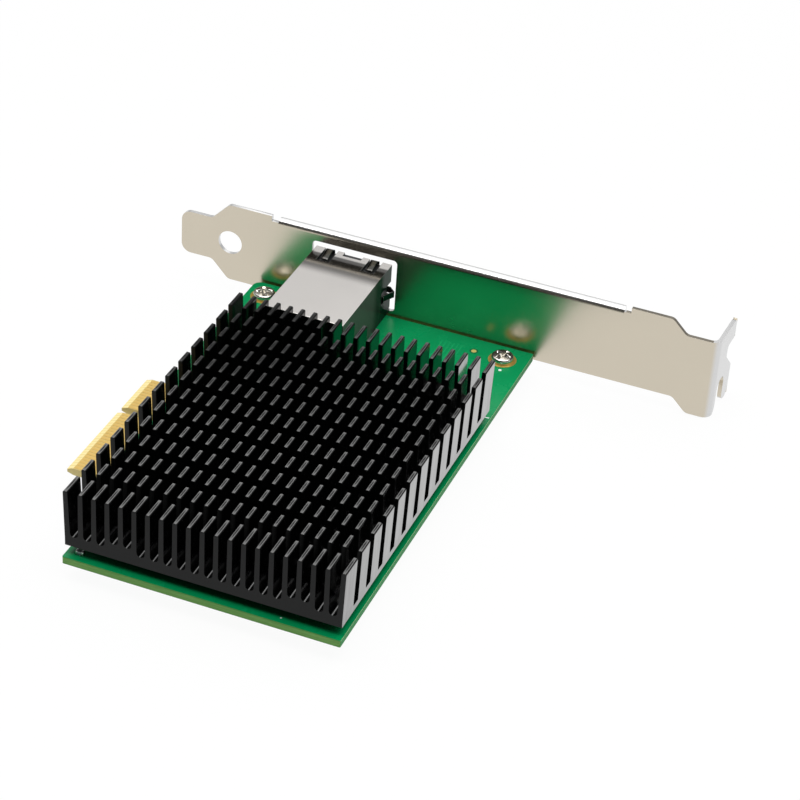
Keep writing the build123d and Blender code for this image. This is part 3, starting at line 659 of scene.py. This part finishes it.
def comb_profile(sizes, low, high):
    """The heat sink's upper outline from one side to the other. Each fin is a quarter round up to
    its tip, a quarter round down from it, then a quarter round into the gap's floor and one out of
    it. The outermost fins' tips are moved outwards by the lean. A point near each end of a fin's
    flat side keeps that side's shading flat."""
    left = low[0] + sizes.lean + np.arange(sizes.fins) * sizes.pitch
    right = left + sizes.thickness
    aside = np.zeros((sizes.fins, 1))
    aside[0] = -sizes.lean
    aside[-1] = sizes.lean
    base = low[2] + sizes.floor
    floor = np.full((sizes.fins, 1), base)
    floor[RIB_GAPS] = low[2] + sizes.rib_floor
    quarter = np.radians(np.linspace(90, 0, 5))
    tip_x = np.cos(quarter) * sizes.tip
    tip_z = high[2] - sizes.tip + np.sin(quarter) * sizes.tip
    rise_x = (left + sizes.draft + sizes.tip)[:, None] - tip_x[::-1] + aside
    fall_x = (right - sizes.draft - sizes.tip)[:, None] + tip_x + aside
    rise = np.stack([rise_x, np.broadcast_to(tip_z[::-1], rise_x.shape)], axis=-1)
    fall = np.stack([fall_x, np.broadcast_to(tip_z, fall_x.shape)], axis=-1)
    root = np.radians(np.linspace(0, 90, 6))
    root_x = sizes.root * (1 - np.cos(root))
    root_z = floor + sizes.root * (1 - np.sin(root))
    into = np.stack([right[:, None] + root_x, root_z], axis=-1)
    out = np.stack([(left + sizes.pitch)[:, None] - root_x[::-1], root_z[:, ::-1]], axis=-1)
    left_foot = np.concatenate([[[left[0], base]], out[:-1, -1]])
    right_foot = np.concatenate([into[:-1, 0], [[right[-1], base]]])
    share = 0.012
    points = np.concatenate([
        toward(left_foot, rise[:, 0], share), toward(rise[:, 0], left_foot, share), rise,
        fall, toward(fall[:, -1], right_foot, share), toward(right_foot, fall[:, -1], share),
        into, out], axis=1).reshape(-1, 2)
    past_last_fin = 2 * len(root)
    points = np.concatenate([[[left[0], base]], points[:-past_last_fin], [[right[-1], base]]])
    return points[:, 0], points[:, 1]


def row_starts(sizes, low):
    """Where each row starts and ends along Y."""
    step = sizes.row + sizes.cut
    start = low[1] + sizes.end_row + sizes.cut + (np.arange(sizes.rows) - 1) * step
    start[0] = low[1]
    length = np.full(sizes.rows, sizes.row)
    length[[0, -1]] = sizes.end_row
    return start, start + length


def heatsink_surface(sizes, low, high):
    """A height over X and Y: the comb outline inside a row and the saw's floor between rows. The
    tips come down by the edge size at a row's ends, on a quarter round, and one more level just
    below keeps the sawn faces' shading flat."""
    x, comb = comb_profile(sizes, low, high)
    start, end = row_starts(sizes, low)
    turn = np.radians([90, 50, 0])
    reach = np.concatenate([[0, 0], sizes.edge * (1 - np.sin(turn))])
    drops = np.concatenate([[np.inf, 2.2 * sizes.edge], sizes.edge * (1 - np.cos(turn))])
    stations = np.concatenate([start[:, None] + reach, end[:, None] - reach[::-1]], axis=1).ravel()
    drop = np.tile(np.concatenate([drops, drops[::-1]]), sizes.rows)
    saw = low[2] + sizes.saw_floor
    height = np.minimum(comb[None, :], high[2] - drop[:, None])
    # between the rows nothing stands, so there the leaning sides are drawn in to the base
    wide = np.where(height > saw, x, np.clip(x, x[0], x[-1]))
    height = np.maximum(height, saw)
    deep = np.broadcast_to(stations[:, None], height.shape)
    top = np.stack([wide, deep, height], axis=-1)
    under = np.empty((len(stations), 2, 3))
    under[:, :, 0] = x[[-1, 0]]
    under[:, :, 1] = stations[:, None]
    under[:, :, 2] = low[2]
    rings = np.concatenate([top, under], axis=1)
    count, corners = rings.shape[:2]
    faces = [tuple(face) for face in ring_faces(count, corners)]
    caps = [tuple(range(corners)), tuple(range((count - 1) * corners, count * corners))]
    return rings.reshape(-1, 3), faces + caps


class NIC_OT_heatsink(bpy.types.Operator):
    """Builds the black finned heat sink"""
    bl_idname = "nic.heatsink"
    bl_label = "Heat sink"

    def execute(self, context):
        low, high = node_box("heatsink")
        places, faces = heatsink_surface(context.scene.nic_heatsink, low, high)
        add_piece("finned_heatsink", places, faces, finishes["anodised"],
                  ("heatsink",), sharp=30)
        return {"FINISHED"}


class NIC_PG_screws(bpy.types.PropertyGroup):
    """Sizes of the cross-recessed screws."""
    head: length_setting("Head radius", "Radius of the pan head", 2.35)
    height: length_setting("Head height", "Height of the pan head", 1.5)
    dome: length_setting("Dome", "How far the head's rim lies under its middle", 0.45)
    shank: length_setting("Shank radius", "Radius over the thread", 1.2)
    thread: length_setting("Thread pitch", "From one crest to the next", 0.4)
    recess_width: length_setting("Recess width", "Width of one arm of the cross", 0.95)
    recess_span: length_setting("Recess span", "Length of the cross", 3.7)
    recess_depth: length_setting("Recess depth", "Depth of the cross at its middle", 0.85)


def screw_shape(sizes, length_below, turn):
    """A pan-head screw head up on the origin. The head is a profile turned about Z, lowered inside
    the cross by its depth times how far the point lies inside an arm; the shank's radius swings
    with height as the thread does."""
    edge = 0.5 * MM
    flat = sizes.head - edge
    radius = np.linspace(POLE, flat, 34)
    crown = sizes.height - sizes.dome * (radius / sizes.head) ** 2
    rim = arc(flat, crown[-1] - edge, edge, 90, 0, 5)[1:]
    foot = np.array([[sizes.head, 0.1 * MM], [sizes.head - 0.1 * MM, 0.0], [sizes.shank, 0.0]])
    down = np.arange(0.0, length_below - 0.3 * MM, sizes.thread / 4)[1:]
    thread = sizes.shank - 0.09 * MM * (1 + np.cos(2 * math.pi * down / sizes.thread)) \
        * (down > 0.3 * MM)
    tail = np.array([[sizes.shank * 0.7, -length_below], [POLE, -length_below]])
    profile = np.concatenate([np.stack([radius, crown], axis=-1), rim, foot,
                              np.stack([thread, -down], axis=-1), tail])

    def outside(along, beside):
        return np.maximum(abs(along) - sizes.recess_span / 2, abs(beside) - sizes.recess_width / 2)

    def recess(x, y, z):
        along = x * math.cos(turn) + y * math.sin(turn)
        beside = y * math.cos(turn) - x * math.sin(turn)
        within = -np.minimum(outside(along, beside), outside(beside, along))
        away = np.hypot(x, y) / (sizes.recess_span / 2)
        depth = sizes.recess_depth * (1 - 0.75 * np.clip(away, 0, 1))
        on_crown = z > sizes.height - sizes.dome - edge
        return -depth * np.clip(within / (0.30 * MM), 0, 1) * on_crown

    sides = 96
    places, faces = turned(profile, sides, recess)
    last = (len(profile) - 1) * sides
    return places, faces + [tuple(range(sides)), tuple(range(last, last + sides))]


class NIC_OT_screws(bpy.types.Operator):
    """Builds the bracket's screws and the heat sink's screws"""
    bl_idname = "nic.screws"
    bl_label = "Screws"

    def execute(self, context):
        self.screw_set("bracket_screws", "bracket_screw_set", 0.47, context.scene.nic_screws)
        self.screw_set("heatsink_screws", "heatsink_screw_set", 0.55, context.scene.nic_screws)
        return {"FINISHED"}

    def screw_set(self, node, name, turn, sizes):
        """A screw in each of a node's boxes, each turned on from the one before; the heat sink's
        have their heads below."""
        places = []
        faces = []
        for k, (low, high) in enumerate(zip(*solid_boxes(node))):
            shape, quads = screw_shape(sizes, high[2] - low[2] - sizes.height, turn - 0.79 * k)
            middle = (low + high) / 2
            if node == "heatsink_screws":
                shape = shape * (1, -1, -1)
                middle[2] = low[2] + sizes.height
            else:
                middle[2] = high[2] - sizes.height
            start = sum(len(screw) for screw in places)
            places.append(shape + middle)
            faces += [tuple(corner + start for corner in quad) for quad in quads]
        add_piece(name, np.concatenate(places), faces, finishes["screw"], (node,),
                  sharp=32)


class NIC_PG_sheet(bpy.types.PropertyGroup):
    """How far the sheet-metal edges are eased."""
    bracket_edge: length_setting("Bracket edge", "Easing of the bracket's punched edges", 0.13)
    shield_edge: length_setting("Shield edge", "Easing of the shield's edges", 0.07)


class NIC_OT_bracket(bpy.types.Operator):
    """Dresses the folded bracket"""
    bl_idname = "nic.bracket"
    bl_label = "Bracket"

    def execute(self, context):
        edge = context.scene.nic_sheet.bracket_edge
        softened("bracket", "folded_bracket", edge, finishes["nickel"])
        return {"FINISHED"}


class NIC_OT_socket(bpy.types.Operator):
    """Dresses the network socket: shield, insert, wires, pins and light pipes"""
    bl_idname = "nic.socket"
    bl_label = "Socket"

    def execute(self, context):
        edge = context.scene.nic_sheet.shield_edge
        softened("jack_shield", "socket_shield", edge, finishes["shield"])
        dress("jack_housing", "housing")
        dress("jack_wires", "gold")
        dress("jack_magnetics", "potting")
        dress("jack_pins", "tin")
        dress("jack_light_pipes", "light")
        return {"FINISHED"}


class NIC_PG_board(bpy.types.PropertyGroup):
    """Sizes of the board's fine detail."""
    trace: length_setting("Trace width", "Width of a copper trace", 0.20)
    relief: length_setting("Trace relief", "How far a masked trace stands out", 0.03)
    print_width: length_setting("Print line", "Width of a printed line", 0.18)
    solder: length_setting("Solder radius", "Radius of a solder joint's foot", 0.85)


def solder_side_paths():
    """Paths from the card edge's contacts across the solder side: straight up from each contact,
    aside at 45 degrees, and on to a spread row under the controller."""
    lows, highs = solid_boxes("edge_contacts_solder_side")
    y = (lows[:, 1] + highs[:, 1]) / 2
    order = np.argsort(y)
    x, y = highs[order, 0], y[order]
    chip_low, chip_high = node_box("controller_chip")
    target = np.linspace(chip_low[1] - 4 * MM, chip_high[1] + 4 * MM, len(y))
    from_middle = np.abs(np.arange(len(y)) - len(y) / 2)
    knee = x + (10 * MM + 0.28 * from_middle * MM)
    end = chip_low[0] - 2 * MM - 0.2 * from_middle * MM
    points = [
        np.stack([x, y], axis=-1),
        np.stack([knee, y], axis=-1),
        np.stack([knee + np.abs(target - y), target], axis=-1),
        np.stack([end, target], axis=-1),
    ]
    return np.stack(points, axis=1)


def lane_paths(start, step, count, runs):
    """A bundle of like paths side by side: each is the runs' points moved on by whole steps."""
    runs = np.asarray(runs, dtype=float) * MM
    offset = np.asarray(step) * MM * np.arange(count)[:, None]
    return runs[None, :, :] + np.asarray(start) * MM + offset[:, None, :]


# bundles of traces: the first one's start, the step to the next, how many, and the run's points
SOLDER_SIDE = (
    ((46, 4), (1.3, 0.0), 8, ((0, 0), (0, 12), (-9, 21), (-9, 24))),
    ((33, 6), (-0.55, 0.35), 6, ((0, 0), (0, 14), (-6, 20), (-6, 26))),
    ((52, -10), (0.0, -0.7), 7, ((0, 0), (5, 0), (9, -4), (9, -22))),
    ((34, -20), (0.8, 0.0), 10, ((0, 0), (0, -6), (4, -10), (4, -20))),
)
COMPONENT_SIDE = (
    ((46.0, 41), (0.9, 0.0), 6, ((0, 0), (0, 3), (3, 6), (3, 12))),
    ((5.6, 40), (0.0, 0.0), 1, ((0, 0), (0, 3), (0.4, 3.4), (0.4, 6))),
)


class NIC_OT_board(bpy.types.Operator):
    """Dresses the board: laminate, contacts, rings, traces, vias, print and solder"""
    bl_idname = "nic.board"
    bl_label = "Board"

    def execute(self, context):
        sizes = context.scene.nic_board
        dress("circuit_board", "laminate")
        for side in ("component_side", "solder_side"):
            dress("edge_contacts_" + side, "gold")
            dress("screw_pads_" + side, "ring")
        under = node_box("circuit_board")[0][2]
        sunk = 0.01 * MM
        below = [solder_side_paths()] + [lane_paths(*bundle) for bundle in SOLDER_SIDE]
        above = [lane_paths(*bundle) for bundle in COMPONENT_SIDE]
        for name, paths, low, high in (
            ("solder_side_traces", below, under + sunk, under - sizes.relief),
            ("component_side_traces", above, -sunk, sizes.relief * 0.5),
        ):
            places, faces = strips(np.concatenate(paths), sizes.trace, low, high)
            add_piece(name, places, faces, finishes["trace"])
        self.vias([below[0], below[1], below[3]], under)
        self.solder(sizes, under)
        self.print_lines(sizes, under)
        return {"FINISHED"}

    def vias(self, bundles, under):
        """Plated holes under the mask at the ends of the traces."""
        sides = 14
        ring = np.array([(0.10, 0.0), (0.14, 0.035), (0.26, 0.035), (0.30, 0.0)]) * MM
        places, faces = turned(np.concatenate([[[POLE, 0.0]], ring]), sides)
        last = len(ring) * sides
        faces += [tuple(range(sides)), tuple(range(last, last + sides))]
        ends = np.concatenate([paths[:, -1] for paths in bundles])
        centres = np.concatenate([ends, np.full((len(ends), 1), under)], axis=1)
        places, faces = repeated(places * (1, 1, -1), faces, centres)
        add_piece("solder_side_vias", places, faces, finishes["trace"])

    def solder(self, sizes, under):
        """A solder cone round each pin: its radius falls from the foot's to the pin's as a quarter
        wave turned over."""
        lows, highs = solid_boxes("jack_pins")
        centres = (lows + highs) / 2
        centres[:, 2] = under
        pin = 0.30 * MM
        step = np.linspace(0, 1, 9)
        radius = pin + (sizes.solder - pin) * (1 - np.sin(step * math.pi / 2)) ** 1.3
        cone = np.stack([radius, step * 1.15 * MM], axis=-1)
        places, faces = turned(np.concatenate([[[POLE, 0.0]], cone, [[POLE, 1.24 * MM]]]), 20)
        places, faces = repeated(places * (1, 1, -1), faces, centres)
        add_piece("solder_joints", places, faces, finishes["tin"])

    def print_lines(self, sizes, under):
        """Printed outlines round the socket's pins and the small capacitors of the solder side."""
        socket_low, socket_high = node_box("jack_shield")
        rear_low, rear_high = node_box("rear_capacitors")
        away = 0.8 * MM
        behind_bracket = 0.0566
        frames = []
        for (x0, y0), (x1, y1) in (
            (socket_low[:2], (socket_high[0] - 1 * MM, behind_bracket)),
            (rear_low[:2] - away, rear_high[:2] + away),
        ):
            closing = (x0, y0 - sizes.print_width / 2)
            frames.append([(x0, y0), (x1, y0), (x1, y1), (x0, y1), closing])
        places, faces = strips(frames, sizes.print_width, under + 0.01 * MM, under - 0.02 * MM)
        add_piece("solder_side_print", places, faces, finishes["print"])


class NIC_OT_small_parts(bpy.types.Operator):
    """Builds the capacitors and dresses the parts under the heat sink"""
    bl_idname = "nic.small_parts"
    bl_label = "Small parts"

    def execute(self, context):
        self.capacitors("ceramic_capacitors", "ceramic")
        self.capacitors("edge_capacitor", "glass")
        self.capacitors("rear_capacitors", "ceramic")
        for node, finish in (
            ("controller_chip", "epoxy"), ("controller_thermal_pad", "pad"),
            ("memory_chip", "epoxy"), ("crystal", "tin"), ("power_inductors", "ferrite"),
            ("regulator_chips", "epoxy"), ("heatsink_spacers", "nylon"),
            ("heatsink_washers", "nylon"),
        ):
            dress(node, finish)
        return {"FINISHED"}

    def capacitors(self, node, finish):
        """A body a little inside each of a node's boxes, and a tinned cap over each end."""
        lows, highs = solid_boxes(node)
        size = highs[0] - lows[0]
        middles = (lows + highs) / 2
        way = int(np.argmax(size[:2]))
        body = size.copy()
        body[way] *= 0.9
        places, faces = repeated(*rounded_box(body * 0.94, 0.05 * MM), middles)
        add_piece(node + "_bodies", places, faces, finishes[finish], (node,))
        cap = size.copy()
        cap[way] *= 0.24
        offset = np.zeros(3)
        offset[way] = (size[way] - cap[way]) / 2
        ends = np.concatenate([middles - offset, middles + offset])
        places, faces = repeated(*rounded_box(cap, 0.06 * MM), ends)
        add_piece(node + "_ends", places, faces, finishes["tin"], (node,))


# ---- stage

class NIC_PG_stage(bpy.types.PropertyGroup):
    """The lamp, the light all round and the camera."""
    top: bpy.props.FloatProperty(name="Top", description="Power of the lamp overhead",
                                 default=5.2, unit="POWER")
    front: bpy.props.FloatProperty(name="Front", description="Light from the camera's side",
                                   default=0.08)
    back: bpy.props.FloatProperty(name="Back", description="Light from behind", default=0.8)
    high: bpy.props.FloatProperty(name="High", description="Light from high behind", default=2.0)
    focal: bpy.props.FloatProperty(name="Focal length", description="The camera's focal length, mm",
                                   default=115.995)


def turned_to(right, back, place):
    """A placing whose X runs to the right and whose Z runs back from what it looks at."""
    up = np.cross(back, right)
    turn = Matrix([[right[k], up[k], back[k]] for k in range(3)]).to_4x4()
    turn.translation = place
    return turn


def softbox(name, place, target, width, depth, power):
    """A wide soft lamp aimed at a target, hidden from the camera."""
    lamp = bpy.data.lights.new(name, "AREA")
    lamp.shape = "RECTANGLE"
    lamp.size = width
    lamp.size_y = depth
    lamp.energy = power
    body = bpy.data.objects.new(name, lamp)
    bpy.context.scene.collection.objects.link(body)
    back = np.subtract(place, target)
    back /= np.linalg.norm(back)
    right = np.cross((0, 0, 1), back)
    right /= np.linalg.norm(right)
    body.matrix_world = turned_to(right, back, place)
    body.visible_camera = False


def floor_finish():
    """A white floor: to the camera and in reflections nearly all of its light is its own, and the
    rest keeps the shadow."""
    finish = new_finish("white_floor")
    seen = finish.node("ShaderNodeLightPath", output="Is Camera Ray")
    for ray in ("Is Glossy Ray", "Is Transmission Ray"):
        seen = seen.larger(finish.node("ShaderNodeLightPath", output=ray))
    plain = finish.node("ShaderNodeBsdfDiffuse", None, {"Color": (0.80, 0.80, 0.80)})
    white = finish.node("ShaderNodeEmission", None, {"Color": (1.0, 1.0, 1.0), "Strength": 1.0})
    own_share = seen * 0.95
    return finish.end(finish.node("ShaderNodeMixShader", None, {0: own_share, 1: plain, 2: white}))


def surround(sizes):
    """The light all round: dim on the camera's side, brighter behind the card and brightest high
    up behind it."""
    world = bpy.data.worlds.new("soft_surround")
    light = Finish(world)
    y, z = light.parts(light.node("ShaderNodeTexCoord", output="Generated"))[1:]
    back = y.ramp(-0.10, 0.60)
    high = z.ramp(0.52, 0.64) * y.ramp(-0.35, 0.10)
    strength = back * (sizes.back - sizes.front) + high * (sizes.high - sizes.back) + sizes.front
    glow = light.node("ShaderNodeBackground", None, {"Strength": strength})
    light.end(glow, "ShaderNodeOutputWorld")
    return world


class NIC_OT_stage(bpy.types.Operator):
    """Sets the floor, the lamp, the light all round and the camera"""
    bl_idname = "nic.stage"
    bl_label = "Stage"

    def execute(self, context):
        sizes = context.scene.nic_stage
        scene = context.scene
        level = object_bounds()[0][2] - 0.2 * MM
        half = 4.0
        corners = [(-half, -half, level), (half, -half, level), (half, half, level),
                   (-half, half, level)]
        mesh = bpy.data.meshes.new("white_floor")
        mesh.from_pydata(corners, [], [(0, 1, 2, 3)])
        mesh.materials.append(floor_finish())
        floor = bpy.data.objects.new("white_floor", mesh)
        scene.collection.objects.link(floor)
        floor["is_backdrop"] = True
        softbox("top_lamp", place=(0.06, -0.07, 0.75), target=(0.04, 0.0, 0.0), width=0.9,
                depth=0.44, power=sizes.top)
        scene.world = surround(sizes)
        view = bpy.data.cameras.new("photo_camera")
        view.lens = sizes.focal
        view.sensor_width = 36.0
        view.clip_start = 0.01
        camera = bpy.data.objects.new("photo_camera", view)
        scene.collection.objects.link(camera)
        right = np.array((0.92666, 0.37144, 0.05782))
        back = np.array((0.27695, -0.77858, 0.56312))
        camera.matrix_world = turned_to(right, back, (0.19432, -0.37966, 0.29493))
        scene.camera = camera
        scene.view_settings.view_transform = "Standard"
        return {"FINISHED"}


class NIC_PT_panel(bpy.types.Panel):
    """Lists the card's steps in the sidebar."""
    bl_idname = "NIC_PT_panel"
    bl_label = "Network card"
    bl_space_type = "VIEW_3D"
    bl_region_type = "UI"
    bl_category = "Network card"

    def draw(self, context):
        for step in STEPS:
            self.layout.operator(step.bl_idname)


GROUPS = {"nic_looks": NIC_PG_looks, "nic_heatsink": NIC_PG_heatsink, "nic_screws": NIC_PG_screws,
          "nic_sheet": NIC_PG_sheet, "nic_board": NIC_PG_board, "nic_stage": NIC_PG_stage}
STEPS = (NIC_OT_stage, NIC_OT_finishes, NIC_OT_heatsink, NIC_OT_bracket, NIC_OT_screws,
         NIC_OT_socket, NIC_OT_board, NIC_OT_small_parts)


def register():
    for name, group in GROUPS.items():
        bpy.utils.register_class(group)
        setattr(bpy.types.Scene, name, bpy.props.PointerProperty(type=group))
    for step in STEPS:
        bpy.utils.register_class(step)
    bpy.utils.register_class(NIC_PT_panel)


def unregister():
    bpy.utils.unregister_class(NIC_PT_panel)
    for step in reversed(STEPS):
        bpy.utils.unregister_class(step)
    for name, group in GROUPS.items():
        delattr(bpy.types.Scene, name)
        bpy.utils.unregister_class(group)


def main():
    register()
    bpy.ops.nic.stage()
    bpy.ops.nic.finishes()
    bpy.ops.nic.heatsink()
    bpy.ops.nic.bracket()
    bpy.ops.nic.screws()
    bpy.ops.nic.socket()
    bpy.ops.nic.board()
    bpy.ops.nic.small_parts()


if __name__ == "__main__":
    main()
